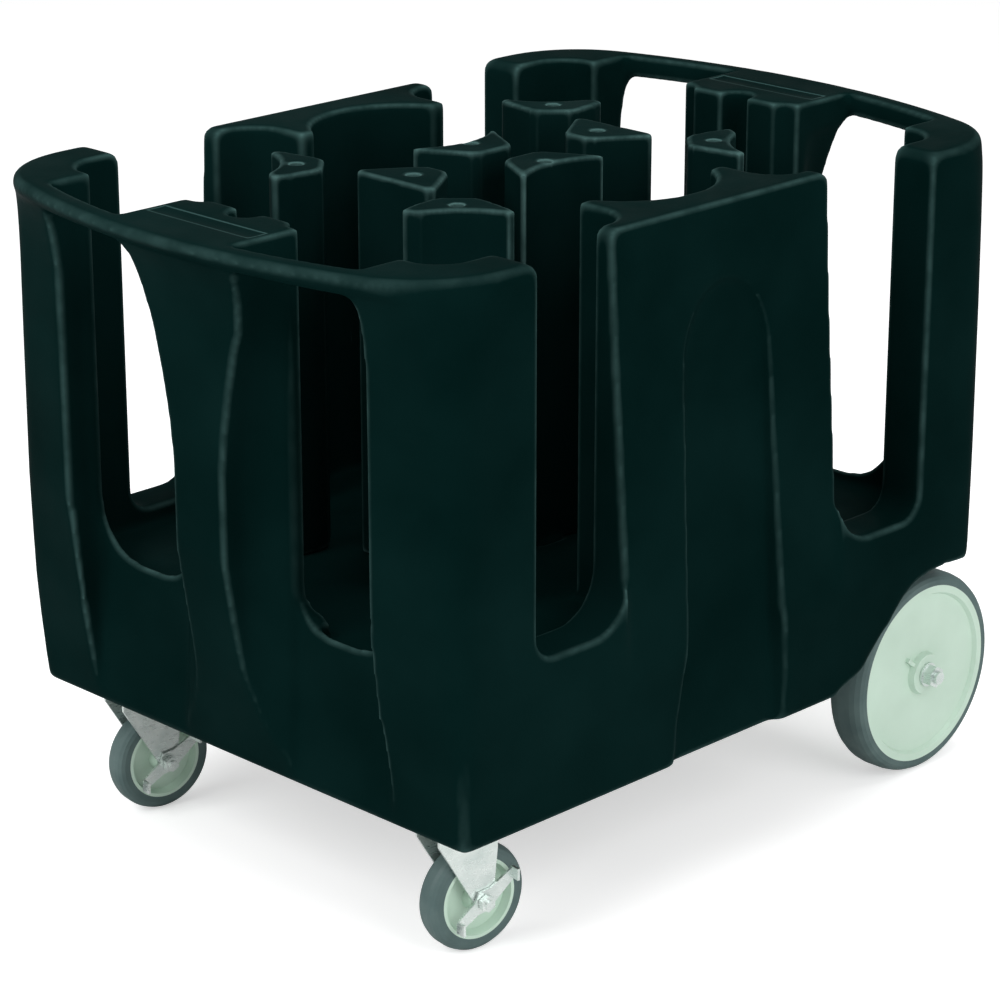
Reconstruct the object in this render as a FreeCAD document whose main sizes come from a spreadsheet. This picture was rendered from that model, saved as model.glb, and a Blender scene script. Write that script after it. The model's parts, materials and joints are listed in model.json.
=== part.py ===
"""Dish caddy on wheels: a moulded body with bowed handle rails, eight lift-out dividing towers,
two braked swivel casters at the front and two large plain wheels on a fixed axle at the rear.

Millimetres. +Z is up, the floor is Z = 0, the front end with the casters faces -Y, and the origin
lies under the middle of the body. Every driving size sits in the sheet below, once.
"""
import FreeCAD, Part
import math
import os
import Sketcher

os.makedirs("parts", exist_ok=True)

doc = FreeCAD.newDocument("dish_caddy")

SIZES = [
    # moulded body, outer form
    ("body_width", 730.0),
    ("foot_width", 712.0),
    ("foot_length", 846.0),
    ("foot_height", 166.5),
    ("waist_height", 300.0),
    ("body_top", 800.0),
    ("end_bow", 110.5),
    ("bow_radius", 890.0),
    ("edge_round", 9.0),
    ("foot_bead", 5.0),
    # moulded body, interior
    ("floor_height", 340.0),
    ("middle_half_width", 222.0),
    ("end_wall", 32.0),
    ("well_radius", 108.0),
    ("side_well_offset", 174.0),
    ("pocket_half_width", 305.0),
    ("pocket_half_length", 408.0),
    ("pocket_start", 118.0),
    ("pocket_round", 45.0),
    ("lobe_radius", 20.0),
    ("lobe_spacing", 84.0),
    ("lobe_notch", 6.0),
    ("lobe_flank", 7.0),
    # side slots
    ("slot_inner", 179.0),
    ("slot_outer", 322.0),
    ("slot_bottom", 362.0),
    ("slot_round_inner", 55.0),
    ("slot_round_outer", 28.0),
    ("slot_lip_round", 14.0),
    # end windows and rails
    ("window_inner", 92.0),
    ("window_outer", 249.0),
    ("window_bottom", 353.0),
    ("window_round_inner", 44.0),
    ("window_round_outer", 66.0),
    ("rail_depth", 30.0),
    ("rail_height", 28.0),
    ("rail_lean", 0.15),
    ("rail_fillet", 18.0),
    ("pilaster_half_width", 42.0),
    ("pilaster_flank", 27.0),
    ("rim_round", 7.0),
    ("rim_step", 2.0),
    ("flank_lean", 7.0),
    ("flank_depth", 44.0),
    # side panels
    ("panel_inset_top", 35.0),
    ("panel_inset_upper", 27.0),
    ("panel_inset_middle", 15.0),
    ("arch_half_width", 71.0),
    ("arch_foot_half_width", 97.0),
    ("arch_top", 714.0),
    ("arch_plane", 329.0),
    ("arch_foot_plane", 347.0),
    ("arch_draft", 16.0),
    # rear wheel wells
    ("wheel_well_inner", 256.0),
    ("wheel_well_top", 284.0),
    ("wheel_well_start", 190.0),
    # label recesses
    ("label_half_width", 82.0),
    ("label_inner", 441.0),
    ("label_outer", 467.0),
    ("label_depth", 2.0),
    # towers
    ("tower_top", 797.0),
    ("tower_hole_radius", 7.0),
    ("tower_hole_depth", 60.0),
    ("peg_length", 44.0),
    ("peg_width", 28.0),
    ("peg_depth", 20.0),
    ("peg_clearance", 0.6),
    ("corner_well_x", 221.0),
    ("corner_well_y", 292.0),
    ("end_well_y", 287.0),
    ("corner_tower_x", 130.0),
    ("corner_tower_y", 209.0),
    ("end_tower_y", 150.0),
    ("side_tower_x", 60.0),
    ("tower_scoop_radius", 104.0),
    # casters
    ("caster_x", 268.0),
    ("caster_y", 350.0),
    ("caster_swing", 9.0),
    ("caster_trail", 20.0),
    ("caster_tyre_radius", 63.5),
    ("caster_tyre_half_width", 15.5),
    ("caster_core_radius", 47.5),
    ("caster_hub_half_width", 19.0),
    ("caster_hub_radius", 13.0),
    ("caster_web_half_width", 5.0),
    ("caster_bolt_radius", 5.0),
    ("spin_clearance", 0.05),
    ("side_clearance", 0.5),
    ("fork_sheet", 3.5),
    ("fork_top_half_length", 38.0),
    ("fork_foot_half_length", 14.0),
    ("crown_sheet", 4.5),
    ("plate_sheet", 4.0),
    ("plate_half_length", 50.0),
    ("plate_half_width", 42.0),
    ("race_radius", 30.0),
    ("race_height", 8.0),
    ("race_gap", 0.3),
    ("kingpin_radius", 6.0),
    ("kingpin_head_radius", 11.0),
    ("kingpin_head", 5.0),
    ("plate_bolt_radius", 4.0),
    ("plate_bolt_head_radius", 7.0),
    ("plate_bolt_head", 5.0),
    ("plate_bolt_x", 40.0),
    ("plate_bolt_y", 32.0),
    ("bolt_depth", 18.0),
    ("lever_sheet", 3.0),
    ("lever_boss_radius", 13.0),
    ("lever_front", 36.0),
    ("lever_rear", 40.0),
    ("lever_half_width", 7.0),
    ("lever_tab", 13.0),
    ("nut_flat_radius", 8.5),
    ("nut_height", 7.0),
    # rear axle and wheels
    ("axle_y", 402.3),
    ("axle_radius", 8.0),
    ("axle_half_length", 346.0),
    ("wheel_radius", 127.0),
    ("wheel_face", 322.6),
    ("wheel_tyre_width", 50.0),
    ("wheel_core_radius", 112.0),
    ("wheel_lip", 9.0),
    ("wheel_web_recess", 5.0),
    ("wheel_web", 12.0),
    ("wheel_hub_radius", 25.0),
    ("wheel_hub_proud", 3.0),
    ("wheel_rib", 18.0),
    ("washer_radius", 15.0),
    ("washer_sheet", 2.5),
    ("axle_nut_flat_radius", 12.0),
    ("axle_nut_height", 12.0),
    ("collar_radius", 14.0),
    ("collar_length", 8.0),
    ("bracket_x", 205.0),
    ("bracket_half_width", 22.0),
    ("bracket_half_length", 30.0),
    ("bracket_below", 16.0),
    ("bracket_ahead", 30.0),
    ("bracket_flange", 26.0),
    ("bracket_flange_sheet", 8.0),
]

sizes = doc.addObject("Spreadsheet::Sheet", "sizes")
for row, (alias, value) in enumerate(SIZES, start=1):
    sizes.set(f"A{row}", alias)
    sizes.set(f"B{row}", str(value))
    sizes.setAlias(f"B{row}", alias)
doc.recompute()

SIDES = (("right", 1), ("left", -1))
ENDS = (("front", -1), ("rear", 1))
parts = []


def size(alias):
    """Read one size from the sheet."""
    return float(sizes.get(alias))


def bind(feature, **links):
    """Bind properties of a feature to expressions; a double underscore stands for a dot."""
    for name, expression in links.items():
        feature.setExpression(name.replace("__", "."), str(expression))
    return feature


def sheet(text):
    """Turn words in braces into references to the sheet."""
    return text.replace("{", "sizes.").replace("}", "")


def place(feature, x="0", y="0", z="0"):
    """Bind the position of a feature."""
    return bind(feature, Placement__Base__x=sheet(x), Placement__Base__y=sheet(y),
                Placement__Base__z=sheet(z))


AXIS_TURNS = {
    "x": FreeCAD.Rotation(FreeCAD.Vector(0, 1, 0), 90),
    "y": FreeCAD.Rotation(FreeCAD.Vector(1, 0, 0), -90),
    "z": FreeCAD.Rotation(),
}


def cylinder(name, radius, length, x="0", y="0", z="0", axis="z"):
    """A bound cylinder that starts at the given point and runs along +axis."""
    feature = doc.addObject("Part::Cylinder", name)
    feature.Placement = FreeCAD.Placement(FreeCAD.Vector(), AXIS_TURNS[axis])
    bind(feature, Radius=sheet(radius), Height=sheet(length))
    return place(feature, x, y, z)


def hexagon(name, flat_radius, length, x="0", y="0", z="0", axis="z"):
    """A bound hexagonal prism, measured to its flats."""
    feature = doc.addObject("Part::Prism", name)
    feature.Polygon = 6
    feature.Placement = FreeCAD.Placement(FreeCAD.Vector(), AXIS_TURNS[axis])
    bind(feature, Circumradius=f"({sheet(flat_radius)}) / cos(30 deg)", Height=sheet(length))
    return place(feature, x, y, z)


def box(name, length, width, height, x="0", y="0", z="0"):
    """A bound box centred on x and y that stands on z."""
    feature = doc.addObject("Part::Box", name)
    bind(feature, Length=sheet(length), Width=sheet(width), Height=sheet(height))
    return place(feature, f"({x}) - ({length}) / 2", f"({y}) - ({width}) / 2", z)


def cut(name, base, *tools):
    """Take tools away from a base, one after another."""
    for index, tool in enumerate(tools, start=1):
        feature = doc.addObject("Part::Cut", name if index == len(tools) else f"{name}_step_{index}")
        feature.Base = base
        feature.Tool = tool
        base = feature
    return base


def fuse(name, *pieces):
    """Join pieces of one moulding or one forging."""
    feature = doc.addObject("Part::MultiFuse", name)
    feature.Shapes = list(pieces)
    feature.Refine = True
    return feature


def group(name, *pieces):
    """Keep separate equal pieces together under one name."""
    feature = doc.addObject("Part::Compound", name)
    feature.Links = list(pieces)
    return feature


def outline_sketch(name, points, plane="xy"):
    """A closed sketch whose corners are bound to the sheet, in the plane xy, yz or xz."""
    sketch = doc.addObject("Sketcher::SketchObject", name)
    turns = {
        "xy": FreeCAD.Rotation(),
        "yz": FreeCAD.Rotation(FreeCAD.Vector(0, 1, 0), FreeCAD.Vector(0, 0, 1),
                               FreeCAD.Vector(1, 0, 0), "ZXY"),
        "xz": FreeCAD.Rotation(FreeCAD.Vector(1, 0, 0), FreeCAD.Vector(0, 0, 1),
                               FreeCAD.Vector(0, -1, 0), "ZXY"),
    }
    sketch.Placement = FreeCAD.Placement(FreeCAD.Vector(), turns[plane])
    corners = [FreeCAD.Vector(value_of(x), value_of(y), 0) for x, y in points]
    count = len(corners)
    for index in range(count):
        sketch.addGeometry(Part.LineSegment(corners[index], corners[(index + 1) % count]))
    for index in range(count):
        sketch.addConstraint(Sketcher.Constraint("Coincident", index, 2, (index + 1) % count, 1))
    for index, (x, y) in enumerate(points):
        for kind, text, number in (("DistanceX", x, corners[index].x),
                                   ("DistanceY", y, corners[index].y)):
            row = sketch.addConstraint(Sketcher.Constraint(kind, -1, 1, index, 1, number))
            sketch.setExpression(f"Constraints[{row}]", f"({sheet(text)}) * 1 mm")
    return sketch


def value_of(text):
    """Work out a size expression as a number, for the first position of a sketch corner."""
    number = text
    for alias, _ in sorted(SIZES, key=lambda item: -len(item[0])):
        number = number.replace("{" + alias + "}", f"({size(alias)})")
    return evaluate(number)


def evaluate(text):
    """Let the sheet do the arithmetic of one expression."""
    sizes.set("D1", "=" + text)
    sizes.recompute()
    return float(sizes.get("D1"))


def extrusion(name, points, length, plane="xy", start="0"):
    """A bound extrusion of a closed outline along the normal of its plane."""
    sketch = outline_sketch(f"{name}_outline", points, plane)
    shift = {"xy": "z", "yz": "x", "xz": "y"}[plane]
    place(sketch, **{shift: start})
    feature = doc.addObject("Part::Extrusion", name)
    feature.Base = sketch
    feature.DirMode = "Custom"
    feature.Dir = {"xy": (0, 0, 1), "yz": (1, 0, 0), "xz": (0, 1, 0)}[plane]
    feature.Solid = True
    return bind(feature, LengthFwd=sheet(length))


def revolution(name, points):
    """A bound body of revolution about X: points are (along X, radius)."""
    sketch = outline_sketch(f"{name}_profile", points, "xy")
    feature = doc.addObject("Part::Revolution", name)
    feature.Source = sketch
    feature.Axis = (1, 0, 0)
    feature.Base = (0, 0, 0)
    feature.Angle = 360
    feature.Solid = True
    return feature


def register(feature, label):
    """Keep a finished piece under its own name."""
    feature.Label = label
    parts.append(feature)
    return feature


# ---------------------------------------------------------------- moulded body
# rise above the foot, share of the end bow reached there, corner radius in plan
HULL_ROWS = [
    (0.0, 0.002, 9.0), (21.5, 0.05, 11.0), (85.5, 0.19, 17.0), (133.5, 0.30, 25.0),
    (193.5, 0.40, 32.0), (263.5, 0.50, 40.5), (433.5, 0.505, 44.5), (530.5, 0.52, 50.0),
    (560.0, 0.57, 57.0), (584.5, 0.635, 66.0), (605.5, 0.75, 83.0), (615.5, 0.92, 113.0),
    (621.5, 1.0, 128.0),
]

# rise above the foot, widening of the middle pilaster, hollow depth left unused, set-back of the
# corner column's outer edge (negative where it fillets into the rail)
BAY_ROWS = [
    (-10.0, 0.0, 12.0, 1.0), (60.0, 0.0, 4.0, 1.0), (130.0, 0.0, 0.0, 1.0), (360.0, 0.0, 0.0, 1.0),
    (407.5, 5.0, 0.0, 1.0), (456.5, 14.0, 0.0, 1.0), (506.5, 26.0, 0.0, 1.0),
    (530.5, 34.0, 0.0, 2.0), (560.0, 40.0, 0.0, 8.0), (584.5, 45.0, 0.0, 13.0),
    (592.0, 47.0, 0.0, 12.0), (599.5, 52.0, 0.0, 6.0), (605.5, 64.0, 0.0, 0.0),
]


def hull_row(level):
    """Share of the end bow and corner radius at one level, between the rows of the table."""
    rise = min(max(level - size("foot_height"), HULL_ROWS[0][0]), HULL_ROWS[-1][0])
    for below, above in zip(HULL_ROWS, HULL_ROWS[1:]):
        if rise <= above[0]:
            part = (rise - below[0]) / (above[0] - below[0])
            return [below[column] + part * (above[column] - below[column]) for column in (1, 2)]
    return list(HULL_ROWS[-1][1:])


def ring_points(level, inset):
    """Numbers of the bowed outline of the body at one level, drawn in by an inset."""
    share, corner = hull_row(level)
    waist = (level - size("foot_height")) / (size("waist_height") - size("foot_height"))
    half_foot = size("foot_width") / 2
    half_width = half_foot + (size("body_width") / 2 - half_foot) * min(waist, 1) - inset
    apex = size("foot_length") / 2 + size("end_bow") * share - inset
    bow = size("bow_radius") / share - inset
    return half_width, apex, bow, max(corner - inset, 3.0)


def ring(level, inset=0.0):
    """The bowed outline of the body at one level as a closed wire."""
    half_width, apex, bow, corner = ring_points(level, inset)
    bow_centre = bow - apex
    corner_x = half_width - corner
    corner_y = bow_centre - math.sqrt((bow - corner) ** 2 - corner_x ** 2)
    reach = math.hypot(corner_x, corner_y - bow_centre)
    touch = (bow * corner_x / reach, bow_centre + bow * (corner_y - bow_centre) / reach)
    turn = (math.atan2(touch[1] - corner_y, touch[0] - corner_x)) / 2
    middle = (corner_x + corner * math.cos(turn), corner_y + corner * math.sin(turn))

    def point(x, y):
        return FreeCAD.Vector(x, y, level)

    edges = [
        Part.Arc(point(-touch[0], touch[1]), point(0, -apex), point(*touch)).toShape(),
        Part.Arc(point(*touch), point(*middle), point(half_width, corner_y)).toShape(),
        Part.makeLine(point(half_width, corner_y), point(half_width, -corner_y)),
        Part.Arc(point(half_width, -corner_y), point(middle[0], -middle[1]),
                 point(touch[0], -touch[1])).toShape(),
        Part.Arc(point(touch[0], -touch[1]), point(0, apex), point(-touch[0], -touch[1])).toShape(),
        Part.Arc(point(-touch[0], -touch[1]), point(-middle[0], -middle[1]),
                 point(-half_width, -corner_y)).toShape(),
        Part.makeLine(point(-half_width, -corner_y), point(-half_width, corner_y)),
        Part.Arc(point(-half_width, corner_y), point(-middle[0], middle[1]),
                 point(-touch[0], touch[1])).toShape(),
    ]
    return Part.Wire(edges)


def prism(points, height, direction):
    """A straight prism of a polygon."""
    wire = Part.makePolygon([FreeCAD.Vector(*point) for point in points + points[:1]])
    return Part.Face(wire).extrude(FreeCAD.Vector(*direction) * height)


def rounded_corner(outline, corner, radius, towards_start, towards_end):
    """Replace one polygon corner by three steps of a round."""
    steps = 6
    for step in range(steps + 1):
        turn = math.pi / 2 * step / steps
        outline.append(tuple(
            corner[axis] + radius * ((1 - math.sin(turn)) * towards_start[axis]
                                     + (1 - math.cos(turn)) * towards_end[axis])
            for axis in range(2)))


def mirrored(shape, x=False, y=False):
    """A copy mirrored in the middle planes of the body."""
    copy = shape.copy()
    if x:
        copy = copy.mirror(FreeCAD.Vector(), FreeCAD.Vector(1, 0, 0))
    if y:
        copy = copy.mirror(FreeCAD.Vector(), FreeCAD.Vector(0, 1, 0))
    return copy


def four_ways(shape):
    """The shape and its three mirrored copies."""
    return [mirrored(shape, x, y) for x in (False, True) for y in (False, True)]


def upright_box(x_from, x_to, y_from, y_to, z_from, z_to):
    """A plain box between limits."""
    return Part.makeBox(x_to - x_from, y_to - y_from, z_to - z_from,
                        FreeCAD.Vector(x_from, y_from, z_from))


def body_blank():
    """The outer form: narrow foot, upright sides and ends that bow out towards the rails."""
    top, soft = size("body_top"), size("edge_round")
    foot, bead = size("foot_height"), size("foot_bead")
    levels = [(foot, bead / 2), (foot + bead, 0)]
    levels += [(foot + rise, 0) for rise, _, _ in HULL_ROWS[1:-1]]
    for step in range(4):
        turn = math.pi / 6 * step
        levels.append((top - soft * (1 - math.sin(turn)), soft * (1 - math.cos(turn))))
    return Part.makeLoft([ring(level, inset) for level, inset in levels], True, True)


def interior():
    """The open space for the stacks: middle, side wells and corner pockets."""
    floor, above = size("floor_height"), size("body_top") + 20
    inner_end = size("foot_length") / 2 - size("end_wall")
    middle = size("middle_half_width")
    tools = [upright_box(-middle, middle, -inner_end, inner_end, floor, above)]
    for side in (-1, 1):
        centre = FreeCAD.Vector(side * size("side_well_offset"), 0, floor)
        tools.append(Part.makeCylinder(size("well_radius"), above - floor, centre))
    pocket = upright_box(size("pocket_start"), size("pocket_half_width"), size("pocket_start"),
                         size("pocket_half_length"), floor, above)
    upright = [edge for edge in pocket.Edges
               if edge.BoundBox.ZLength > 1 and edge.CenterOfMass.x > size("pocket_start") + 1]
    tools += four_ways(pocket.makeFillet(size("pocket_round"), upright))
    return tools


def side_slots():
    """Deep open slots in both side walls, one beside each corner."""
    inner, outer = size("slot_inner"), size("slot_outer")
    low, top, lip = size("slot_bottom"), size("body_top"), size("slot_lip_round")
    outline = [(inner - lip, top + 20)]
    rounded_corner(outline, (inner, top), lip, (-1, 0), (0, -1))
    rounded_corner(outline, (inner, low), size("slot_round_inner"), (0, 1), (1, 0))
    rounded_corner(outline, (outer, low), size("slot_round_outer"), (-1, 0), (0, 1))
    rounded_corner(outline, (outer, top), lip, (0, -1), (1, 0))
    outline.append((outer + lip, top + 20))
    start = size("middle_half_width") - 20
    points = [(start, y, z) for y, z in outline]
    return four_ways(prism(points, size("body_width"), (1, 0, 0)))


def end_windows():
    """Windows in the end walls under the rails, open upwards behind the rails."""
    inner, outer = size("window_inner"), size("window_outer")
    top = size("body_top")
    low, high = size("window_bottom"), top - size("rail_height")
    wall = size("foot_length") / 2 - size("end_wall")
    outline = []
    rounded_corner(outline, (inner, low), size("window_round_inner"), (0, 1), (1, 0))
    rounded_corner(outline, (outer, low), size("window_round_outer"), (-1, 0), (0, 1))
    rounded_corner(outline, (outer, high), size("rail_fillet"), (0, -1), (-1, 0))
    rounded_corner(outline, (inner, high), size("rail_fillet") / 2, (1, 0), (0, -1))
    start = wall - 60
    window = prism([(x, start, z) for x, z in outline], size("foot_length"), (0, 1, 0))
    behind = upright_box(inner, outer, start, size("foot_length"), high - 30, top + 20)
    lines = []
    for level in (high - 40, top + 25):
        line = ring(top, size("rail_depth") + size("rail_lean") * (top - level))
        line.translate(FreeCAD.Vector(0, 0, level - top))
        lines.append(line)
    space = Part.makeLoft(lines, True, True)
    return four_ways(window) + four_ways(behind.common(space))


def end_bay():
    """The hollow field in front of one window, from the middle pilaster to the corner column."""
    wall = size("foot_length") / 2
    rim, step = size("rim_round"), size("rim_step")
    inner, outer = size("window_inner"), size("window_outer")
    flank = wall + size("pilaster_flank")
    edge = outer + step - size("flank_lean")
    wires = []
    for rise, widening, lift, set_back in BAY_ROWS:
        crest = size("pilaster_half_width") + widening
        field = max(inner - crest, 2.0)
        base = wall + lift
        points = [
            (crest, 700), (crest, flank + 14 + lift), (crest + 0.06 * field, flank + lift),
            (crest + 0.3 * field, base + 15), (crest + 0.6 * field, base + 6), (crest + 0.9 * field, base),
            (crest + field + 1, base - rim), (outer, base - rim), (outer, base),
            (outer + step, base + 2 * step), (edge, wall + size("flank_depth")),
            (edge + set_back, wall + size("flank_depth") + abs(set_back)), (edge + set_back, 700),
        ]
        corners = [FreeCAD.Vector(x, y, size("foot_height") + rise) for x, y in points]
        wires.append(Part.makePolygon(corners + corners[:1]))
    return Part.makeLoft(wires, True, True)


def arch_ring(offset, widening):
    """One outline of the arched recess, in a plane that leans outwards towards the foot."""
    arch_half = size("arch_half_width") + widening
    foot_half = size("arch_foot_half_width") + 2 * widening
    arch_top = size("arch_top") + 0.6 * widening
    foot = size("foot_height") - 10
    spring = size("arch_top") - size("arch_half_width") * 1.25
    outline = [(-foot_half, foot), (-foot_half + 4, foot + 60), (-arch_half - 5, foot + 160)]
    steps = 14
    for step in range(steps + 1):
        turn = math.pi * step / steps
        outline.append((-arch_half * math.cos(turn),
                        spring + (arch_top - spring) * math.sin(turn)))
    outline += [(arch_half + 5, foot + 160), (foot_half - 4, foot + 60), (foot_half, foot)]
    low, high = size("arch_foot_plane"), size("arch_plane")
    lean = (high - low) / (size("arch_top") - foot)
    corners = [FreeCAD.Vector(low + lean * (z - foot) + offset, y, z) for y, z in outline]
    return Part.makePolygon(corners + corners[:1])


def side_panels():
    """The lean of the middle side panels and the arched recess in each."""
    half = size("body_width") / 2
    top, waist = size("body_top"), size("waist_height")
    leans = [
        (half, waist), (half - size("panel_inset_middle"), waist + 0.4 * (top - waist)),
        (half - size("panel_inset_upper"), waist + 0.72 * (top - waist)),
        (half - size("panel_inset_top"), top), (half - size("panel_inset_top"), top + 20),
        (half + 40, top + 20), (half + 40, waist),
    ]
    reach = size("slot_inner") + 1
    panel = prism([(x, -reach, z) for x, z in leans], 2 * reach, (0, 1, 0))
    draft = size("arch_draft")
    wires = [arch_ring(offset, widening) for offset, widening in ((0, -draft / 3), (60, draft))]
    arch = Part.makeLoft(wires, True, True)
    tools = [panel, arch]
    return tools + [mirrored(tool, x=True) for tool in tools]


def wheel_wells():
    """Openings over the rear wheels, cut into the rear corners."""
    start, top, foot = size("wheel_well_start"), size("wheel_well_top"), size("foot_height")
    rise = top - foot
    outline = [
        (start, foot - 10), (start + 7, foot + 0.05 * rise), (start + 46, foot + 0.18 * rise),
        (start + 78, foot + 0.47 * rise), (start + 114, foot + 0.81 * rise),
        (start + 132, foot + 0.92 * rise), (start + 150, foot + 0.98 * rise), (start + 172, top),
        (start + 192, top + 2), (start + 228, top - 2), (start + 400, top - 3), (start + 400, foot - 10),
    ]
    well = prism([(size("wheel_well_inner"), y, z) for y, z in outline], 200, (1, 0, 0))
    return [well, mirrored(well, x=True)]


def label_recesses():
    """Shallow bare panels in the pads of both rails."""
    half, top = size("label_half_width"), size("body_top")
    inner, outer = size("label_inner"), size("label_outer")
    return [upright_box(-half, half, min(end * inner, end * outer), max(end * inner, end * outer),
                        top - size("label_depth"), top + 5) for _, end in ENDS]


def tower_spots():
    """Name, centre and turn of each tower."""
    spots = []
    for end_name, end in ENDS:
        for side_name, side in SIDES:
            spots.append((f"tower_{end_name}_{side_name}", "corner",
                          side * size("corner_tower_x"), end * size("corner_tower_y")))
        spots.append((f"tower_{end_name}_middle", "end", 0.0, end * size("end_tower_y")))
    for side_name, side in SIDES:
        spots.append((f"tower_side_{side_name}", "side", side * size("side_tower_x"), 0.0))
    return spots


def peg_block(x, y, clearance):
    """The foot peg of a tower, or with a clearance its socket in the floor."""
    half_x = size("peg_width") / 2 + clearance
    half_y = size("peg_length") / 2 + clearance
    depth = size("peg_depth") + clearance
    return upright_box(x - half_x, x + half_x, y - half_y, y + half_y,
                       size("floor_height") - depth, size("floor_height"))


def pad_lobes():
    """Scallops that leave two rounded lobes on the inner face of each end pad."""
    wall = size("foot_length") / 2 - size("end_wall")
    radius, floor = size("lobe_radius"), size("floor_height")
    tools = []
    for _, end in ENDS:
        for across in (-1, 0, 1):
            depth = -size("lobe_flank") if across else size("lobe_notch")
            centre = FreeCAD.Vector(across * size("lobe_spacing"), end * (wall + depth), floor)
            tools.append(Part.makeCylinder(radius, size("body_top"), centre))
    return tools


def bolt_holes():
    """Threaded inserts for the caster plates and the axle brackets, as plain holes."""
    foot, depth = size("foot_height"), size("bolt_depth")
    spots = []
    for _, side in SIDES:
        for across in (-1, 1):
            spots += [(side * size("caster_x") + across * size("plate_bolt_y"),
                       -size("caster_y") + along * size("plate_bolt_x")) for along in (-1, 1)]
        reach = size("bracket_half_length") + size("bracket_flange") / 2
        spots += [(side * size("bracket_x"), size("axle_y") - size("bracket_ahead") + along * reach)
                  for along in (-1, 1)]
    return [Part.makeCylinder(size("plate_bolt_radius"), depth, FreeCAD.Vector(x, y, foot))
            for x, y in spots]


def body_shape():
    """The whole moulding."""
    shape = body_blank()
    tools = interior() + side_slots() + end_windows() + side_panels() + wheel_wells()
    tools += label_recesses() + pad_lobes() + bolt_holes()
    tools += four_ways(end_bay())
    tools += [peg_block(x, y, size("peg_clearance")) for _, _, x, y in tower_spots()]
    for tool in tools:
        shape = shape.cut(tool)
    return shape


body = doc.addObject("Part::Feature", "cart_body")
body.Shape = body_shape()
register(body, "cart_body")


# ---------------------------------------------------------------- towers
def tower_plan(kind, side, end):
    """Corner points of a tower plan around its own hole, before the scoops are taken."""
    if kind == "corner":
        plan = [(64, 14), (62, 26), (52, 30), (2, 38), (-8, 36), (-36, 8), (-38, -4), (-32, -52),
                (-24, -58), (-12, -52)]
        return [(side * x, -end * y) for x, y in plan]
    if kind == "end":
        plan = [(-62, 26), (-56, 34), (-48, 34), (48, 34), (56, 34), (62, 26), (54, 14), (24, -30),
                (14, -38), (-14, -38), (-24, -30), (-54, 14)]
        return [(x, end * y) for x, y in plan]
    plan = [(34, 64), (26, 66), (14, 58), (-34, 32), (-40, 22), (-40, -22), (-34, -32), (14, -58),
            (26, -66), (34, -64)]
    return [(side * x, y) for x, y in plan]


def well_centres(kind, side, end):
    """Middle of each stack that a tower stands against."""
    if kind == "corner":
        return [(side * size("corner_well_x"), end * size("corner_well_y")),
                (0.0, end * size("end_well_y")), (side * size("side_well_offset"), 0.0)]
    if kind == "end":
        return [(0.0, end * size("end_well_y"))]
    return [(side * size("side_well_offset"), 0.0)]


def tower_shape(kind, x, y):
    """A hollow-sided dividing tower with a foot peg and a finger hole."""
    side = math.copysign(1, x)
    end = math.copysign(1, y)
    floor, top = size("floor_height"), size("tower_top")
    plan = [(x + dx, y + dy, floor) for dx, dy in tower_plan(kind, side, end)]
    shape = prism(plan, top - floor, (0, 0, 1))
    for centre_x, centre_y in well_centres(kind, side, end):
        scoop = Part.makeCylinder(size("tower_scoop_radius"), top - floor + 20,
                                  FreeCAD.Vector(centre_x, centre_y, floor - 10))
        shape = shape.cut(scoop)
    shape = shape.fuse(peg_block(x, y, 0.0)).removeSplitter()
    hole = Part.makeCylinder(size("tower_hole_radius"), size("tower_hole_depth") + 5,
                             FreeCAD.Vector(x, y, top - size("tower_hole_depth")))
    return shape.cut(hole)


for name, kind, x, y in tower_spots():
    tower = doc.addObject("Part::Feature", name)
    tower.Shape = tower_shape(kind, x, y)
    register(tower, name)


# ---------------------------------------------------------------- casters
PLATE_TOP = "{foot_height}"
PLATE_LOW = "{foot_height} - {plate_sheet}"
RACE_LOW = "{foot_height} - {plate_sheet} - {race_height}"
CROWN_TOP = "{foot_height} - {plate_sheet} - {race_height} - {race_gap}"
CROWN_LOW = "{foot_height} - {plate_sheet} - {race_height} - {race_gap} - {crown_sheet}"
PIN_LOW = ("{foot_height} - {plate_sheet} - {race_height} - 2 * {race_gap} - {crown_sheet}"
           " - {kingpin_head}")
LEG_INSIDE = "{caster_hub_half_width} + {side_clearance}"
LEG_OUTSIDE = "{caster_hub_half_width} + {side_clearance} + {fork_sheet}"
LEVER_INSIDE = "{caster_hub_half_width} + 2 * {side_clearance} + {fork_sheet}"
NUT_INSIDE = "{caster_hub_half_width} + 3 * {side_clearance} + {fork_sheet} + {lever_sheet}"


def swing(feature, side, turned=True):
    """Put a caster piece under its corner; turning pieces also take the swivel angle."""
    feature.Placement = FreeCAD.Placement(FreeCAD.Vector(),
                                          FreeCAD.Rotation(FreeCAD.Vector(0, 0, 1), 1))
    angle = "-{caster_swing} * 1 deg" if turned else "0 deg"
    bind(feature, Placement__Rotation__Angle=sheet(angle))
    return place(feature, f"{side} * {{caster_x}}", "-{caster_y}", "0")


def caster_plate(name, side):
    """Top plate with its pressed bearing race."""
    plate = box(f"{name}_sheet", "2 * {plate_half_width}", "2 * {plate_half_length}", "{plate_sheet}",
                z=PLATE_LOW)
    holes = []
    for across in (-1, 1):
        for along in (-1, 1):
            holes.append(cylinder(f"{name}_hole_{across + 1}{along + 1}", "{plate_bolt_radius}",
                                  "{plate_sheet} + 2", f"{across} * {{plate_bolt_y}}",
                                  f"{along} * {{plate_bolt_x}}", f"{PLATE_LOW} - 1"))
    pin_hole = cylinder(f"{name}_pin_hole", "{kingpin_radius}", "{plate_sheet} + 2",
                        z=f"{PLATE_LOW} - 1")
    return swing(cut(name, plate, pin_hole, *holes), side, turned=False)


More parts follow.
